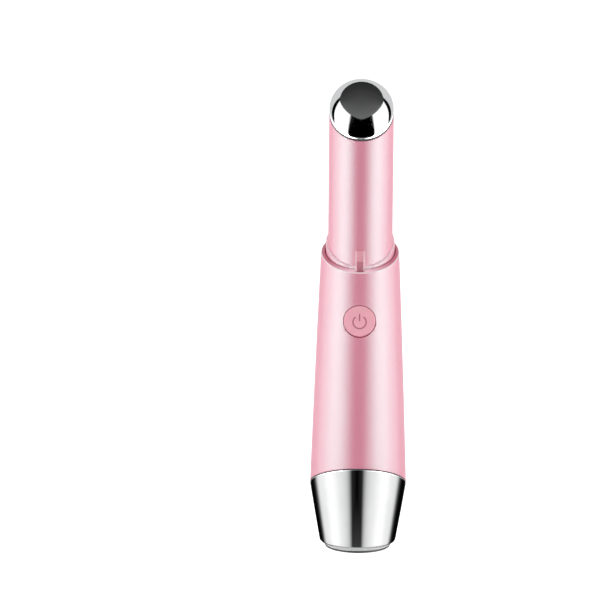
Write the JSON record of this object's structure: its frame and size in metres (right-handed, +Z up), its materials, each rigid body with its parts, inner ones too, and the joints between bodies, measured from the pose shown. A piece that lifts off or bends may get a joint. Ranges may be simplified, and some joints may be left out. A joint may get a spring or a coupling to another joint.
{
  "type": "heated eye massager wand",
  "caption": "Free-standing handheld wand with a slanted polished warming head, a pearl handle with a round power button and a chrome charging base.",
  "frame": {"origin": "middle of the underside of the foot, on the surface the wand stands on", "axes": "+Z up along the wand's axis, -Y the front with the power button, +X to the viewer's right"},
  "size_m": [0.0252, 0.0252, 0.1228],
  "materials": {
    "pearl_pink": "satin pearl lacquer, pale rose pink",
    "button_pink": "satin rose pink with a printed power symbol",
    "polished_metal": "mirror-polished plated metal",
    "chrome_base": "mirror chrome plating",
    "seal_rubber": "matt dark grey silicone",
    "gasket_rubber": "matt dusty rose silicone",
    "ring_silicone": "matt rose silicone, paler at the front",
    "foot_plastic": "fine-grained grey",
    "frame_plastic": "natural white moulding",
    "switch_black": "matt black",
    "plunger_cream": "matt cream",
    "board_green": "solder mask on glass fibre laminate",
    "chip_black": "moulded black packages",
    "plated_steel": "bright nickel plating",
    "battery_wrap": "blue shrink sleeve over the can",
    "motor_steel": "drawn steel can",
    "weight_metal": "sintered heavy metal",
    "heater_copper": "copper-coloured polyimide film",
    "pad_silicone": "soft cream silicone",
    "foam_grey": "closed-cell foam with adhesive",
    "wire_white": "white wire insulation",
    "wire_red": "red wire insulation"
  },
  "bodies": {
    "wand": {"handle_shell": "pearl_pink", "collar_sleeve": "pearl_pink", "head_tube": "pearl_pink", "head_seal": "seal_rubber", "massage_head": "polished_metal", "cap_ring": "ring_silicone", "base_cup": "chrome_base", "base_seal": "seal_rubber", "foot_disc": "foot_plastic", "button_gasket": "gasket_rubber", "switch_body": "switch_black", "circuit_board": "board_green", "board_parts": "chip_black", "charge_socket": "plated_steel", "socket_tongue": "switch_black", "chassis": "frame_plastic", "battery_cell": "battery_wrap", "battery_tabs": "plated_steel", "battery_pad": "foam_grey", "base_screws": "plated_steel", "heater_film": "heater_copper", "thermistor": "chip_black", "heater_pad": "pad_silicone", "motor_holder": "frame_plastic", "motor_can": "motor_steel", "motor_end_cap": "switch_black", "heater_leads": "wire_white", "motor_leads": "wire_red", "battery_leads": "wire_red"},
    "button": {"power_button": "button_pink", "switch_plunger": "plunger_cream"},
    "rotor": {"motor_shaft": "plated_steel", "eccentric_weight": "weight_metal"}
  },
  "joints": [
    {"name": "button_press", "type": "slide", "parent": "wand", "child": "button", "axis": [0, 1, 0], "range_m": [0, 0.0004], "stiffness_N_per_m": 2500},
    {"name": "motor_spin", "type": "hinge", "parent": "wand", "child": "rotor", "pos_m": [0, 0, 0.0833], "axis": [0, 0, 1], "continuous": true}
  ]
}
